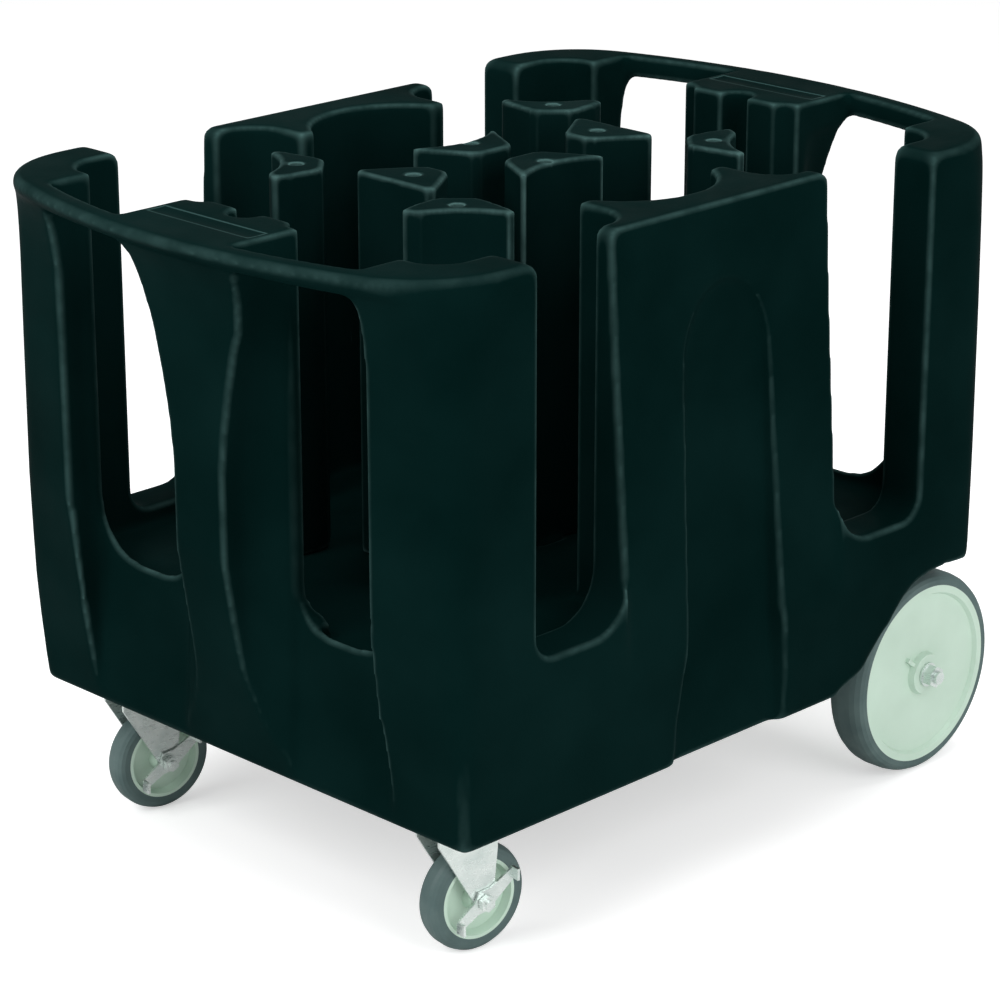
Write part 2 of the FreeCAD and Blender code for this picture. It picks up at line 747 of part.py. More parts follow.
def caster_race(name, side):
    """Bearing race under the plate, with a rolled lip."""
    race = cylinder(f"{name}_cup", "{race_radius}", "{race_height}", z=RACE_LOW)
    lip = cylinder(f"{name}_lip", "{race_radius} + 4", "{race_height} / 3",
                   z=f"{RACE_LOW} + {{race_height}} / 3")
    hole = cylinder(f"{name}_hole", "{kingpin_radius}", "{race_height} + 2", z=f"{RACE_LOW} - 1")
    return swing(cut(name, fuse(f"{name}_blank", race, lip), hole), side, turned=False)


def kingpin(name, side):
    """Riveted pin that carries the fork."""
    shank = cylinder(f"{name}_shank", "{kingpin_radius}", f"{PLATE_TOP} - ({PIN_LOW})", z=PIN_LOW)
    head = cylinder(f"{name}_head", "{kingpin_head_radius}", "{kingpin_head}", z=PIN_LOW)
    return swing(fuse(name, shank, head), side, turned=False)


def plate_bolts(name):
    """The eight equal bolts of both plates."""
    bolts = []
    for side_name, side in SIDES:
        for across in (-1, 1):
            for along in (-1, 1):
                tag = f"{name}_{side_name}_{across + 1}{along + 1}"
                x = f"{side} * {{caster_x}} + {across} * {{plate_bolt_y}}"
                y = f"-{{caster_y}} + {along} * {{plate_bolt_x}}"
                shank = cylinder(f"{tag}_shank", "{plate_bolt_radius}", "{plate_sheet} + {bolt_depth}",
                                 x, y, PLATE_LOW)
                head = hexagon(f"{tag}_head", "{plate_bolt_head_radius}", "{plate_bolt_head}", x, y,
                               f"{PLATE_LOW} - {{plate_bolt_head}}")
                bolts.append(fuse(tag, shank, head))
    return group(name, *bolts)


def caster_fork(name, side):
    """Pressed fork: a crown and two tapering legs that trail to the wheel bolt."""
    top_half, foot_half = "{fork_top_half_length}", "{fork_foot_half_length}"
    bolt_z = "{caster_tyre_radius}"
    leg_outline = [
        (f"-{top_half}", CROWN_TOP), (f"-{top_half}", f"{CROWN_LOW} - 8"),
        (f"{{caster_trail}} - {foot_half}", f"{bolt_z} + 4"),
        (f"{{caster_trail}} - {foot_half} * 0.7", f"{bolt_z} - {foot_half} * 0.7"),
        ("{caster_trail}", f"{bolt_z} - {foot_half}"),
        (f"{{caster_trail}} + {foot_half} * 0.7", f"{bolt_z} - {foot_half} * 0.7"),
        (f"{{caster_trail}} + {foot_half}", f"{bolt_z} + 4"),
        (f"{top_half} + 2", f"{CROWN_LOW} - 26"), (f"{top_half} + 2", CROWN_TOP),
    ]
    legs = []
    for tag, start in (("outer", LEG_INSIDE), ("inner", f"-({LEG_OUTSIDE})")):
        legs.append(extrusion(f"{name}_leg_{tag}", leg_outline, "{fork_sheet}", "yz", start))
    crown = box(f"{name}_crown", f"2 * ({LEG_OUTSIDE})", f"2 * {top_half} + 2", "{crown_sheet}",
                y="1", z=CROWN_LOW)
    dish = cylinder(f"{name}_dish", "{race_radius} + 4", "{crown_sheet}", z=CROWN_LOW)
    pin_hole = cylinder(f"{name}_pin_hole", "{kingpin_radius} + {spin_clearance}",
                        "{crown_sheet} + 2", z=f"{CROWN_LOW} - 1")
    bolt_hole = cylinder(f"{name}_bolt_hole", "{caster_bolt_radius}", f"2 * ({LEG_OUTSIDE}) + 2",
                         f"-({LEG_OUTSIDE}) - 1", "{caster_trail}", bolt_z, "x")
    blank = fuse(f"{name}_blank", crown, dish, *legs)
    return swing(cut(name, blank, pin_hole, bolt_hole), side)


def caster_bolt(name, side):
    """Wheel bolt with its head on the inner leg."""
    shank_end = f"{NUT_INSIDE} + {{nut_height}} + 3"
    shank = cylinder(f"{name}_shank", "{caster_bolt_radius}", f"{LEG_OUTSIDE} + {shank_end}",
                     f"-({LEG_OUTSIDE})", "{caster_trail}", "{caster_tyre_radius}", "x")
    head = hexagon(f"{name}_head", "{nut_flat_radius}", "{nut_height}",
                   f"-({LEG_OUTSIDE}) - {{nut_height}}", "{caster_trail}", "{caster_tyre_radius}", "x")
    return swing(fuse(name, shank, head), side)


def caster_nut(name, side):
    """Nut over the brake lever."""
    nut = hexagon(f"{name}_hexagon", "{nut_flat_radius}", "{nut_height}", NUT_INSIDE,
                  "{caster_trail}", "{caster_tyre_radius}", "x")
    hole = cylinder(f"{name}_hole", "{caster_bolt_radius}", "{nut_height} + 2", f"{NUT_INSIDE} - 1",
                    "{caster_trail}", "{caster_tyre_radius}", "x")
    return swing(cut(name, nut, hole), side)


def brake_lever(name, side):
    """Rocking lever beside the fork with a bent tread at each end."""
    half, boss = "{lever_half_width}", "{lever_boss_radius}"
    axis_y, axis_z = "{caster_trail}", "{caster_tyre_radius}"
    front, rear = "{lever_front}", "{lever_rear}"
    outline = [
        (f"{axis_y} - {front}", f"{axis_z} - 22 - {half}"), (f"{axis_y} - 8", f"{axis_z} - {boss}"),
        (f"{axis_y} + 8", f"{axis_z} - {boss} + 2"), (f"{axis_y} + {boss}", f"{axis_z} - 4"),
        (f"{axis_y} + {rear}", f"{axis_z} + 26 - {half}"), (f"{axis_y} + {rear}", f"{axis_z} + 26 + {half}"),
        (f"{axis_y} + 8", f"{axis_z} + {boss} + 2"), (f"{axis_y} - 8", f"{axis_z} + {boss}"),
        (f"{axis_y} - {boss}", f"{axis_z} + 2"), (f"{axis_y} - {front}", f"{axis_z} - 22 + {half}"),
    ]
    bar = extrusion(f"{name}_bar", outline, "{lever_sheet}", "yz", LEVER_INSIDE)
    treads = []
    for tag, along, up in (("front", f"{axis_y} - {front} + {{lever_sheet}} / 2", "- 22"),
                           ("rear", f"{axis_y} + {rear} - {{lever_sheet}} / 2", "+ 26")):
        treads.append(box(f"{name}_tread_{tag}", "{lever_tab}", "{lever_sheet}", f"2 * {half}",
                          f"{LEVER_INSIDE} + {{lever_tab}} / 2", along, f"{axis_z} {up} - {half}"))
    hole = cylinder(f"{name}_hole", "{caster_bolt_radius} + {spin_clearance}", "{lever_sheet} + 2",
                    f"{LEVER_INSIDE} - 1", axis_y, axis_z, "x")
    return swing(cut(name, fuse(f"{name}_blank", bar, *treads), hole), side)


def wheel_piece(feature, side):
    """Move a piece that is turned about X to the caster wheel centre, then under its corner."""
    holder = doc.addObject("Part::Compound", f"{feature.Name}_seat")
    place(feature, "0", "{caster_trail}", "{caster_tyre_radius}")
    holder.Links = [feature]
    return swing(holder, side)


def caster_core(name, side):
    """Wheel core: hub, web and rim in one moulding."""
    hub_half, web_half = "{caster_hub_half_width}", "{caster_web_half_width}"
    tread_half, rim = "{caster_tyre_half_width}", "{caster_core_radius}"
    bore = "{caster_bolt_radius} + {spin_clearance}"
    profile = [
        (f"-{hub_half}", bore), (hub_half, bore), (hub_half, "{caster_hub_radius}"),
        (web_half, "{caster_hub_radius} + 3"), (web_half, f"{rim} - 7"),
        (tread_half, f"{rim} - 4"), (tread_half, rim), (f"-{tread_half}", rim),
        (f"-{tread_half}", f"{rim} - 4"), (f"-{web_half}", f"{rim} - 7"),
        (f"-{web_half}", "{caster_hub_radius} + 3"), (f"-{hub_half}", "{caster_hub_radius}"),
    ]
    return wheel_piece(revolution(f"{name}_turned", profile), side)


def tyre_profile(half, inner, outer):
    """Half-round section of a solid tyre."""
    return [
        (f"-({half})", inner), (half, inner), (half, f"{inner} + ({outer} - {inner}) * 0.45"),
        (f"({half}) * 0.9", f"{inner} + ({outer} - {inner}) * 0.72"),
        (f"({half}) * 0.66", f"{inner} + ({outer} - {inner}) * 0.92"),
        (f"({half}) * 0.36", outer), (f"-({half}) * 0.36", outer),
        (f"-({half}) * 0.66", f"{inner} + ({outer} - {inner}) * 0.92"),
        (f"-({half}) * 0.9", f"{inner} + ({outer} - {inner}) * 0.72"),
        (f"-({half})", f"{inner} + ({outer} - {inner}) * 0.45"),
    ]


def caster_tyre(name, side):
    """Solid tyre of a caster."""
    profile = tyre_profile("{caster_tyre_half_width}", "{caster_core_radius}", "{caster_tyre_radius}")
    return wheel_piece(revolution(f"{name}_turned", profile), side)


for side_name, side in SIDES:
    register(caster_plate(f"caster_plate_{side_name}", side), f"caster_plate_{side_name}")
    register(caster_race(f"caster_race_{side_name}", side), f"caster_race_{side_name}")
    register(kingpin(f"caster_kingpin_{side_name}", side), f"caster_kingpin_{side_name}")
    register(caster_fork(f"caster_fork_{side_name}", side), f"caster_fork_{side_name}")
    register(caster_bolt(f"caster_bolt_{side_name}", side), f"caster_bolt_{side_name}")
    register(caster_nut(f"caster_nut_{side_name}", side), f"caster_nut_{side_name}")
    register(brake_lever(f"brake_lever_{side_name}", side), f"brake_lever_{side_name}")
    register(caster_core(f"caster_core_{side_name}", side), f"caster_core_{side_name}")
    register(caster_tyre(f"caster_tyre_{side_name}", side), f"caster_tyre_{side_name}")
register(plate_bolts("caster_plate_bolts"), "caster_plate_bolts")


# ---------------------------------------------------------------- rear axle and wheels
AXLE_Z = "{wheel_radius}"
HUB_FACE = "{wheel_face} + {wheel_hub_proud}"
WASHER_START = "{wheel_face} + {wheel_hub_proud} + {side_clearance}"
HUB_INNER = "{wheel_face} - {wheel_tyre_width} - 4"
COLLAR_START = "{wheel_face} - {wheel_tyre_width} - 4 - {side_clearance} - {collar_length}"


def mirrored_start(side, start, length):
    """Lower X of a piece that lies between start and start + length on one side."""
    return f"({start})" if side > 0 else f"-({start}) - ({length})"


def rear_bracket(name, side):
    """Cast block that carries the axle under the body."""
    height = f"{{foot_height}} - {AXLE_Z} + {{bracket_below}}"
    block = box(f"{name}_block", "2 * {bracket_half_width}", "2 * {bracket_half_length}", height,
                f"{side} * {{bracket_x}}", "{axle_y} - {bracket_ahead}", f"{AXLE_Z} - {{bracket_below}}")
    flange = box(f"{name}_flange", "2 * {bracket_half_width}",
                 "2 * {bracket_half_length} + 2 * {bracket_flange}", "{bracket_flange_sheet}",
                 f"{side} * {{bracket_x}}", "{axle_y} - {bracket_ahead}", "{foot_height} - {bracket_flange_sheet}")
    bore = cylinder(f"{name}_bore", "{axle_radius}", "2 * {bracket_half_width} + 2",
                    f"{side} * {{bracket_x}} - {{bracket_half_width}} - 1", "{axle_y}", AXLE_Z, "x")
    holes = [cylinder(f"{name}_hole_{index}", "{plate_bolt_radius}", "{bracket_flange_sheet} + 2",
                      f"{side} * {{bracket_x}}", y, "{foot_height} - {bracket_flange_sheet} - 1")
             for index, y in enumerate(bracket_bolt_lines())]
    return cut(name, fuse(f"{name}_blank", block, flange), bore, *holes)


def bracket_bolt_lines():
    """Y of the two bolts of a bracket."""
    return [f"{{axle_y}} - {{bracket_ahead}} + {along} * ({{bracket_half_length}} + {{bracket_flange}} / 2)"
            for along in (-1, 1)]


def bracket_bolts(name):
    """The four equal bolts of the axle brackets."""
    bolts = []
    low = "{foot_height} - {bracket_flange_sheet}"
    for side_name, side in SIDES:
        for index, y in enumerate(bracket_bolt_lines()):
            tag = f"{name}_{side_name}_{index}"
            shank = cylinder(f"{tag}_shank", "{plate_bolt_radius}",
                             "{bracket_flange_sheet} + {bolt_depth}", f"{side} * {{bracket_x}}", y, low)
            head = hexagon(f"{tag}_head", "{plate_bolt_head_radius}", "{plate_bolt_head}",
                           f"{side} * {{bracket_x}}", y, f"{low} - {{plate_bolt_head}}")
            bolts.append(fuse(tag, shank, head))
    return group(name, *bolts)


def axle_rings(name, outer, start, length, maker):
    """Two equal rings or nuts seated on the axle, one at each end."""
    rings = []
    for side_name, side in SIDES:
        x = mirrored_start(side, start, length)
        blank = maker(f"{name}_{side_name}_blank", outer, length, x, "{axle_y}", AXLE_Z, "x")
        hole = cylinder(f"{name}_{side_name}_hole", "{axle_radius}", f"{length} + 2", f"{x} - 1",
                        "{axle_y}", AXLE_Z, "x")
        rings.append(cut(f"{name}_{side_name}", blank, hole))
    return group(name, *rings)


def rear_core(name, side):
    """Wheel disc with a raised rim, a recessed web, a hub and one small rib beside the hub."""
    face, rim, lip = "{wheel_face}", "{wheel_core_radius}", "{wheel_lip}"
    bore = "{axle_radius} + {spin_clearance}"
    web_out = f"{face} - {{wheel_web_recess}}"
    web_in = f"{face} - {{wheel_web_recess}} - {{wheel_web}}"
    inner = f"{face} - {{wheel_tyre_width}}"
    profile = [
        (HUB_INNER, bore), (HUB_FACE, bore), (HUB_FACE, "{wheel_hub_radius}"),
        (web_out, "{wheel_hub_radius} + 2"), (web_out, f"{rim} - {lip} - 3"), (face, f"{rim} - {lip}"),
        (face, rim), (inner, rim), (inner, f"{rim} - {lip}"), (web_in, f"{rim} - {lip} - 3"),
        (web_in, "{wheel_hub_radius} + 2"), (HUB_INNER, "{wheel_hub_radius}"),
    ]
    turned = revolution(f"{name}_turned", [(f"{side} * ({x})", radius) for x, radius in profile])
    rib = box(f"{name}_rib", f"{{wheel_web_recess}} + 1", "{wheel_rib}", "5",
              f"{side} * ({web_out} + ({{wheel_web_recess}} - 1) / 2)",
              "-{wheel_hub_radius} - {wheel_rib} / 2 + 2", "-2.5")
    holder = fuse(name, turned, rib)
    holder.Placement = FreeCAD.Placement(FreeCAD.Vector(),
                                         FreeCAD.Rotation(FreeCAD.Vector(1, 0, 0), -38))
    return place(holder, "0", "{axle_y}", AXLE_Z)


def rear_tyre(name, side):
    """Solid tyre of a rear wheel."""
    middle = "{wheel_face} - {wheel_tyre_width} / 2"
    profile = tyre_profile("{wheel_tyre_width} / 2", "{wheel_core_radius}", "{wheel_radius}")
    turned = revolution(name, [(f"{side} * ({middle}) + {x}", radius) for x, radius in profile])
    return place(turned, "0", "{axle_y}", AXLE_Z)


axle = cylinder("rear_axle", "{axle_radius}", "2 * {axle_half_length}", "-{axle_half_length}",
                "{axle_y}", AXLE_Z, "x")
register(axle, "rear_axle")
for side_name, side in SIDES:
    register(rear_bracket(f"axle_bracket_{side_name}", side), f"axle_bracket_{side_name}")
    register(rear_core(f"rear_core_{side_name}", side), f"rear_core_{side_name}")
    register(rear_tyre(f"rear_tyre_{side_name}", side), f"rear_tyre_{side_name}")
register(bracket_bolts("axle_bracket_bolts"), "axle_bracket_bolts")
register(axle_rings("axle_collars", "{collar_radius}", COLLAR_START, "{collar_length}", cylinder),
         "axle_collars")
register(axle_rings("axle_washers", "{washer_radius}", WASHER_START, "{washer_sheet}", cylinder),
         "axle_washers")
register(axle_rings("axle_nuts", "{axle_nut_flat_radius}", f"{WASHER_START} + {{washer_sheet}}",
                    "{axle_nut_height}", hexagon), "axle_nuts")

doc.recompute()

# ---------------------------------------------------------------- checks and files
for item in doc.Objects:
    if "Invalid" in item.State or "Error" in item.State:
        raise RuntimeError(f"{item.Label} did not build: {item.State}")
for item in parts:
    if item.Shape.isNull() or not item.Shape.isValid():
        raise RuntimeError(f"{item.Label} has no valid shape")
for item in parts:
    item.Shape.exportStep(f"parts/{item.Label}.step")
print(len(parts), "parts written")
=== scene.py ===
"""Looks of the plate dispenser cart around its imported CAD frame, in metres and in its axes."""
import json
import math

import bpy
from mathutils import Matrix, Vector

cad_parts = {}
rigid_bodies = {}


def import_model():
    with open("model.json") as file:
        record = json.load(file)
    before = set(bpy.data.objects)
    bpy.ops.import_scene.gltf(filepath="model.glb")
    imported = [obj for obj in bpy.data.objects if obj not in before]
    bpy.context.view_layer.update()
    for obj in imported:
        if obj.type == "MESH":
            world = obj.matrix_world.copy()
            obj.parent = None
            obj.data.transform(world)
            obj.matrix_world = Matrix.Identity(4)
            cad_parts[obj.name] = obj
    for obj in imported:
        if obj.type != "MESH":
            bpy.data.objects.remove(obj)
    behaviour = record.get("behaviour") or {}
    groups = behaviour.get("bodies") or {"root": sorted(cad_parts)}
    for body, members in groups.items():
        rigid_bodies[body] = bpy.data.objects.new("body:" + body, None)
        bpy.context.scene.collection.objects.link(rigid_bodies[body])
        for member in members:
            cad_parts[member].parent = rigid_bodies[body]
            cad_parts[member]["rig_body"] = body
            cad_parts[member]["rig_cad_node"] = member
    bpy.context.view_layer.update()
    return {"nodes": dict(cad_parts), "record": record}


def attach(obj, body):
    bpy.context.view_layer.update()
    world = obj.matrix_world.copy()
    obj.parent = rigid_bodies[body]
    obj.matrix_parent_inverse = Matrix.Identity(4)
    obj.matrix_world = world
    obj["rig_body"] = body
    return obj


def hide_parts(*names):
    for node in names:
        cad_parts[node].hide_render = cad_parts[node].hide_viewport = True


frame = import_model()


nodes = frame["nodes"]

# ---------------------------------------------------------------- sizes in metres
BODY_VOXEL = 0.0034
BODY_PASSES = 20
TOWER_VOXEL = 0.003
TOWER_PASSES = 6
HOLE_RADIUS = 0.0072
HOLE_DEPTH = 0.060
HOLE_PROUD = 0.01
HOLE_SIDES = 40
SIDE_HOLE = 0.060
MIDDLE_HOLE = 0.150
CORNER_HOLE = (0.130, 0.209)
LABEL_HALF = (0.082, 0.013)
LABEL_MIDDLE = 0.454
TOP_LEVEL = 0.790
HARDWARE_EDGE = 0.0007
SHARP_ANGLE = math.radians(50)
FLOOR_REACH = 12.0
CAMERA_PLACE = (2.7285, -2.7526, 1.7431)
CAMERA_TURN = (70.53, 0.0, 44.88)
CAMERA_LENS = 124.605


# ---------------------------------------------------------------- materials
class Shader:
    """A small helper that adds nodes to one material."""

    def __init__(self, name):
        self.material = bpy.data.materials.new(name)
        self.material.use_nodes = True
        self.tree = self.material.node_tree
        self.surface = self.tree.nodes["Principled BSDF"]
        self.place = self.add("ShaderNodeTexCoord").outputs["Object"]

    def add(self, kind, **settings):
        """A node with settings."""
        node = self.tree.nodes.new(kind)
        for key, value in settings.items():
            setattr(node, key, value)
        return node

    def link(self, start, end):
        """A link from one socket to another."""
        self.tree.links.new(start, end)

    def noise(self, scale, detail=4.0, roughness=0.5, stretch=(1, 1, 1)):
        """Noise in object space, with a stretch."""
        mapping = self.add("ShaderNodeMapping")
        mapping.inputs["Scale"].default_value = stretch
        self.link(self.place, mapping.inputs["Vector"])
        noise = self.add("ShaderNodeTexNoise")
        noise.inputs["Scale"].default_value = scale
        noise.inputs["Detail"].default_value = detail
        noise.inputs["Roughness"].default_value = roughness
        self.link(mapping.outputs["Vector"], noise.inputs["Vector"])
        return noise.outputs["Fac"]

    def ramp(self, source, low, high, low_value=0.0, high_value=1.0):
        """A value remapped between limits."""
        node = self.add("ShaderNodeMapRange")
        node.inputs["From Min"].default_value = low
        node.inputs["From Max"].default_value = high
        node.inputs["To Min"].default_value = low_value
        node.inputs["To Max"].default_value = high_value
        self.link(source, node.inputs["Value"])
        return node.outputs["Result"]

    def mix(self, factor, first, second):
        """Two colours, or sockets, mixed by a factor."""
        node = self.add("ShaderNodeMix", data_type="RGBA")
        self.link(factor, node.inputs["Factor"])
        for socket, colour in ((node.inputs[6], first), (node.inputs[7], second)):
            if isinstance(colour, tuple):
                socket.default_value = (*colour, 1.0)
            else:
                self.link(colour, socket)
        return node.outputs[2]

    def maths(self, operation, first, second):
        """Two values combined."""
        node = self.add("ShaderNodeMath", operation=operation)
        for socket, value in ((node.inputs[0], first), (node.inputs[1], second)):
            if isinstance(value, (int, float)):
                socket.default_value = value
            else:
                self.link(value, socket)
        return node.outputs[0]

    def bump(self, height, distance, strength=1.0):
        """Bump from a height."""
        node = self.add("ShaderNodeBump")
        node.inputs["Strength"].default_value = strength
        node.inputs["Distance"].default_value = distance
        self.link(height, node.inputs["Height"])
        self.link(node.outputs["Normal"], self.surface.inputs["Normal"])

    def set(self, **values):
        """Constants on the surface's own sockets."""
        for key, value in values.items():
            self.surface.inputs[key.replace("_", " ")].default_value = value


def label_frame(shader):
    """Distance to the outline of the bare label panels, negative inside, in metres."""
    parts = shader.add("ShaderNodeSeparateXYZ")
    shader.link(shader.place, parts.inputs[0])
    across = shader.maths("ABSOLUTE", parts.outputs["X"], 0.0)
    along = shader.maths("ABSOLUTE", parts.outputs["Y"], 0.0)
    along = shader.maths("ABSOLUTE", shader.maths("SUBTRACT", along, LABEL_MIDDLE), 0.0)
    outside = shader.maths("MAXIMUM", shader.maths("SUBTRACT", across, LABEL_HALF[0]),
                           shader.maths("SUBTRACT", along, LABEL_HALF[1]))
    return outside, shader.maths("GREATER_THAN", parts.outputs["Z"], TOP_LEVEL)


def hole_distance(shader):
    """Distance to the nearest finger hole axis, with the plan folded into one quarter."""
    parts = shader.add("ShaderNodeSeparateXYZ")
    shader.link(shader.place, parts.inputs[0])
    across = shader.maths("ABSOLUTE", parts.outputs["X"], 0.0)
    along = shader.maths("ABSOLUTE", parts.outputs["Y"], 0.0)
    nearest = None
    for x, y in ((SIDE_HOLE, 0.0), (0.0, MIDDLE_HOLE), CORNER_HOLE):
        squares = []
        for line, middle in ((across, x), (along, y)):
            offset = shader.maths("SUBTRACT", line, middle)
            squares.append(shader.maths("MULTIPLY", offset, offset))
        reach = shader.maths("SQRT", shader.maths("ADD", *squares), 0.0)
        nearest = reach if nearest is None else shader.maths("MINIMUM", nearest, reach)
    return nearest, shader.maths("GREATER_THAN", parts.outputs["Z"], TOP_LEVEL)


def moulded(name, dark, light, wear_and_highlight_tone, labelled=False):
    """Near-black moulded polyethylene: fine grain, cloudy tone, thin scratches; the worn colour lightens
    convex edges as rubbed wear and as a painted edge highlight.
    """
    shader = Shader(name)
    cloud = shader.ramp(shader.noise(5.0, 3.0), 0.35, 0.70)
    tone = shader.mix(cloud, dark, light)
    grain = shader.noise(900.0, 2.0, 0.6)
    speck = shader.ramp(grain, 0.45, 0.75, 0.0, 0.35)
    tone = shader.mix(speck, tone, light)
    edge = shader.add("ShaderNodeNewGeometry").outputs["Pointiness"]
    # Convex edges are lightened: partly rubbed wear, partly a painted highlight where light catches the
    # edges.
    edge_rub_and_highlight = shader.ramp(edge, 0.510, 0.56)
    patch = shader.ramp(shader.noise(38.0, 4.0), 0.30, 0.62, 0.45, 1.0)
    tone = shader.mix(shader.maths("MULTIPLY", edge_rub_and_highlight, patch), tone, wear_and_highlight_tone)
    scratch = shader.ramp(shader.noise(26.0, 6.0, 0.75, (1.0, 1.0, 0.10)), 0.70, 0.74, 0.0, 0.35)
    tone = shader.mix(scratch, tone, wear_and_highlight_tone)
    height = shader.maths("ADD", grain, shader.maths("MULTIPLY", shader.noise(240.0, 2.0), 0.8))
    if labelled:
        outside, on_top = label_frame(shader)
        rim = shader.ramp(shader.maths("ABSOLUTE", outside, 0.0), 0.0007, 0.0018, 0.55, 0.0)
        tone = shader.mix(shader.maths("MULTIPLY", rim, on_top), tone, wear_and_highlight_tone)
        sunk = shader.maths("MULTIPLY", shader.ramp(outside, -0.0012, 0.0012, -4.0, 0.0), on_top)
        height = shader.maths("ADD", height, sunk)
    else:
        reach, on_top = hole_distance(shader)
        # A lighter ring round each finger hole: partly rubbed wear, partly a painted rim highlight.
        hole_rim_rub_and_highlight = shader.maths("ABSOLUTE", shader.maths("SUBTRACT", reach, HOLE_RADIUS + 0.0010), 0.0)
        hole_rim_rub_and_highlight = shader.ramp(hole_rim_rub_and_highlight, 0.0006, 0.0020, 0.85, 0.0)
        tone = shader.mix(shader.maths("MULTIPLY", hole_rim_rub_and_highlight, on_top), tone, wear_and_highlight_tone)
    shader.link(tone, shader.surface.inputs["Base Color"])
    shader.link(shader.ramp(shader.noise(14.0), 0.3, 0.7, 0.36, 0.52), shader.surface.inputs["Roughness"])
    shader.bump(height, 0.0005, 0.35)
    shader.set(IOR=1.15, Specular_IOR_Level=0.02, Specular_Tint=(0.35, 0.95, 0.95, 1.0))
    return shader.material


def rubber():
    """Dark grey-green solid rubber with a cloudy tone."""
    shader = Shader("tyre_rubber")
    cloud = shader.ramp(shader.noise(22.0), 0.3, 0.7)
    tone = shader.mix(cloud, (0.060, 0.105, 0.103), (0.095, 0.150, 0.145))
    shader.link(tone, shader.surface.inputs["Base Color"])
    shader.link(shader.ramp(shader.noise(60.0), 0.3, 0.7, 0.55, 0.75), shader.surface.inputs["Roughness"])
    shader.bump(shader.noise(700.0, 2.0), 0.0004, 0.4)
    return shader.material


def wheel_plastic():
    """Pale grey moulded wheel centre."""
    shader = Shader("wheel_plastic")
    cloud = shader.ramp(shader.noise(12.0), 0.3, 0.7)
    tone = shader.mix(cloud, (0.53, 0.69, 0.575), (0.60, 0.77, 0.65))
    shader.link(tone, shader.surface.inputs["Base Color"])
    shader.link(shader.ramp(shader.noise(40.0), 0.3, 0.7, 0.38, 0.5), shader.surface.inputs["Roughness"])
    shader.bump(shader.noise(420.0, 2.0), 0.0003, 0.25)
    return shader.material


def zinc():
    """Bright zinc-plated steel with a faint drawn grain."""
    shader = Shader("zinc_steel")
    cloud = shader.ramp(shader.noise(45.0), 0.3, 0.7)
    tone = shader.mix(cloud, (0.62, 0.70, 0.67), (0.80, 0.86, 0.83))
    shader.link(tone, shader.surface.inputs["Base Color"])
    shader.link(shader.ramp(shader.noise(80.0, 3.0, 0.5, (1, 1, 6)), 0.3, 0.7, 0.22, 0.40),
                shader.surface.inputs["Roughness"])
    shader.bump(shader.noise(500.0, 2.0), 0.0002, 0.3)
    shader.set(Metallic=0.85)
    return shader.material


def iron():
    """Black painted casting."""
    shader = Shader("bracket_iron")
    cloud = shader.ramp(shader.noise(40.0), 0.3, 0.7)
    tone = shader.mix(cloud, (0.02, 0.03, 0.03), (0.045, 0.06, 0.06))
    shader.link(tone, shader.surface.inputs["Base Color"])
    shader.link(shader.ramp(shader.noise(70.0), 0.3, 0.7, 0.4, 0.6), shader.surface.inputs["Roughness"])
    shader.bump(shader.noise(300.0, 3.0), 0.0006, 0.5)
    return shader.material


MATERIALS = {
    "body_plastic": moulded("body_plastic", (0.0008, 0.0080, 0.0074), (0.0024, 0.0135, 0.0128),
                            (0.05, 0.105, 0.10), True),
    "tower_plastic": moulded("tower_plastic", (0.0009, 0.0084, 0.0080), (0.0028, 0.0145, 0.0138),
                             (0.06, 0.12, 0.115)),
    "tyre_rubber": rubber(),
    "wheel_plastic": wheel_plastic(),
    "zinc_steel": zinc(),
    "bracket_iron": iron(),
}
slot_of = {part["node"]: part["material_slot"] for part in frame["record"]["subparts"]}
body_of = {node: body for body, members in frame["record"]["behaviour"]["bodies"].items()
           for node in members}


def dress(obj, slot):
    """One material on the whole piece."""
    obj.data.materials.clear()
    obj.data.materials.append(MATERIALS[slot])


# ---------------------------------------------------------------- softened mouldings
HOLE_PLACES = {}
for side, across in (("right", 1), ("left", -1)):
    HOLE_PLACES[f"tower_side_{side}"] = (across * SIDE_HOLE, 0.0)
    for end, along in (("front", -1), ("rear", 1)):
        HOLE_PLACES[f"tower_{end}_middle"] = (0.0, along * MIDDLE_HOLE)
        HOLE_PLACES[f"tower_{end}_{side}"] = (across * CORNER_HOLE[0], along * CORNER_HOLE[1])


def finger_hole(node):
    """A plain cylinder where a tower has its finger hole."""
    source = nodes[node]
    corners = [source.matrix_world @ Vector(corner) for corner in source.bound_box]
    top = max(corner.z for corner in corners)
    x, y = HOLE_PLACES[node]
    sides = HOLE_SIDES
    rings = []
    for z in (top - HOLE_DEPTH, top + HOLE_PROUD):
        for step in range(sides):
            turn = 2 * math.pi * step / sides
            rings.append((x + HOLE_RADIUS * math.cos(turn), y + HOLE_RADIUS * math.sin(turn), z))
    faces = [tuple(reversed(range(sides))), tuple(range(sides, 2 * sides))]
    for step in range(sides):
        after = (step + 1) % sides
        faces.append((step, after, sides + after, sides + step))
    mesh = bpy.data.meshes.new("hole")
    mesh.from_pydata(rings, [], faces)
    hole = bpy.data.objects.new("hole", mesh)
    bpy.context.scene.collection.objects.link(hole)
    return hole


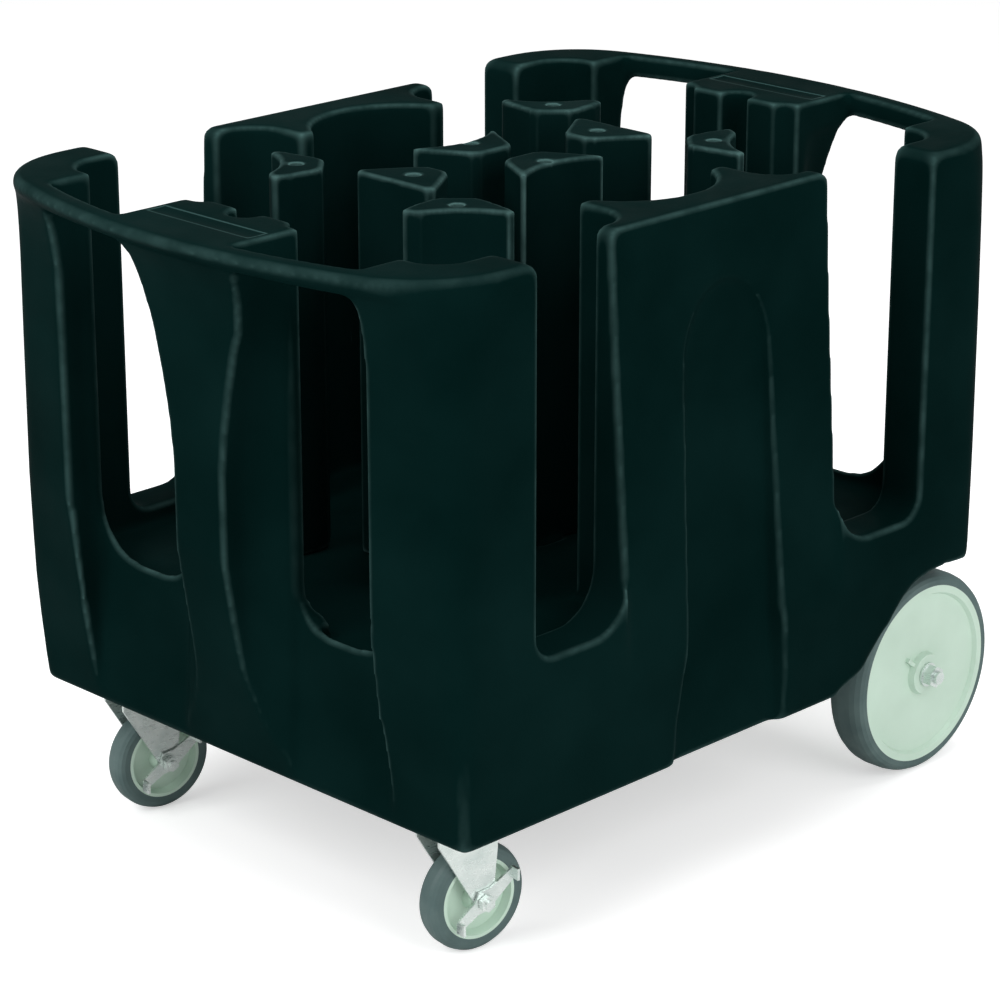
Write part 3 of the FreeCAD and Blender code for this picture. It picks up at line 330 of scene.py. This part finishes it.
def softened(node, voxel, passes, drill=None):
    """A copy of a moulding with its sharp edges rounded, shown in place of the CAD node."""
    source = nodes[node]
    piece = source.copy()
    piece.data = source.data.copy()
    piece.name = f"{node}_soft"
    piece.parent = None
    bpy.context.scene.collection.objects.link(piece)
    remesh = piece.modifiers.new("remesh", "REMESH")
    remesh.mode = "VOXEL"
    remesh.voxel_size = voxel
    smooth = piece.modifiers.new("smooth", "SMOOTH")
    smooth.factor = 0.5
    smooth.iterations = passes
    if drill:
        drilling = piece.modifiers.new("hole", "BOOLEAN")
        drilling.operation = "DIFFERENCE"
        drilling.solver = "EXACT"
        drilling.object = drill
    bpy.context.view_layer.update()
    evaluated = piece.evaluated_get(bpy.context.evaluated_depsgraph_get())
    mesh = bpy.data.meshes.new_from_object(evaluated)
    piece.modifiers.clear()
    piece.data = mesh
    for polygon in mesh.polygons:
        polygon.use_smooth = True
    if drill:
        mesh.set_sharp_from_angle(angle=SHARP_ANGLE)
        bpy.data.objects.remove(drill)
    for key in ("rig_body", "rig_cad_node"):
        if key in piece:
            del piece[key]
    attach(piece, body_of[node])
    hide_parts(node)
    dress(piece, slot_of[node])
    return piece


softened("cart_body", BODY_VOXEL, BODY_PASSES)
for node in sorted(HOLE_PLACES):
    softened(node, TOWER_VOXEL, TOWER_PASSES, finger_hole(node))

# ---------------------------------------------------------------- carried-over hardware
for node, obj in nodes.items():
    if node == "cart_body" or node.startswith("tower_"):
        continue
    dress(obj, slot_of[node])
    bevel = obj.modifiers.new("edge", "BEVEL")
    bevel.width = HARDWARE_EDGE
    bevel.segments = 2
    bevel.limit_method = "ANGLE"
    bevel.angle_limit = SHARP_ANGLE
    bevel.harden_normals = False
    for polygon in obj.data.polygons:
        polygon.use_smooth = True
    weighted = obj.modifiers.new("normals", "WEIGHTED_NORMAL")
    weighted.keep_sharp = True

# ---------------------------------------------------------------- stage
world = bpy.data.worlds.new("studio")
bpy.context.scene.world = world
world.use_nodes = True
tree = world.node_tree
background = tree.nodes["Background"]
background.inputs["Color"].default_value = (1.0, 1.0, 1.0, 1.0)
path = tree.nodes.new("ShaderNodeLightPath")
rays = tree.nodes.new("ShaderNodeMath")
rays.operation = "MAXIMUM"
tree.links.new(path.outputs["Is Camera Ray"], rays.inputs[0])
tree.links.new(path.outputs["Is Transmission Ray"], rays.inputs[1])
strength = tree.nodes.new("ShaderNodeMapRange")
strength.inputs["To Min"].default_value = 0.45
strength.inputs["To Max"].default_value = 1.0
tree.links.new(rays.outputs[0], strength.inputs["Value"])
tree.links.new(strength.outputs["Result"], background.inputs["Strength"])


def area_light(name, place, target, energy, width):
    """A soft square light that looks at a target."""
    light = bpy.data.lights.new(name, "AREA")
    light.energy = energy
    light.size = width
    obj = bpy.data.objects.new(name, light)
    obj.location = place
    obj.rotation_euler = (Vector(target) - Vector(place)).to_track_quat("-Z", "Y").to_euler()
    bpy.context.scene.collection.objects.link(obj)


area_light("key", (-0.6, -3.2, 2.6), (0, 0, 0.5), 75, 2.2)
area_light("fill", (3.4, -0.4, 2.2), (0, 0, 0.4), 55, 2.4)
area_light("top", (0.3, 0.6, 3.4), (0, 0, 0.6), 42, 2.4)

floor_mesh = bpy.data.meshes.new("floor")
corners = [(x * FLOOR_REACH, y * FLOOR_REACH, 0) for x, y in ((-1, -1), (1, -1), (1, 1), (-1, 1))]
floor_mesh.from_pydata(corners, [], [(0, 1, 2, 3)])
floor = bpy.data.objects.new("floor", floor_mesh)
bpy.context.scene.collection.objects.link(floor)
floor_shader = Shader("floor")
floor_shader.set(Base_Color=(0.92, 0.92, 0.92, 1), Roughness=0.9, Specular_IOR_Level=0.0)
seen = floor_shader.add("ShaderNodeLightPath").outputs["Is Camera Ray"]
floor_shader.set(Emission_Color=(1, 1, 1, 1))
floor_shader.link(floor_shader.ramp(seen, 0.0, 1.0, 0.0, 0.5),
                  floor_shader.surface.inputs["Emission Strength"])
floor_mesh.materials.append(floor_shader.material)

camera_data = bpy.data.cameras.new("camera")
camera_data.lens = CAMERA_LENS
camera_data.sensor_width = 36.0
camera_data.clip_end = 100.0
camera = bpy.data.objects.new("camera", camera_data)
camera.location = CAMERA_PLACE
camera.rotation_euler = [math.radians(value) for value in CAMERA_TURN]
bpy.context.scene.collection.objects.link(camera)
bpy.context.scene.camera = camera
bpy.context.scene.view_settings.view_transform = "Standard"
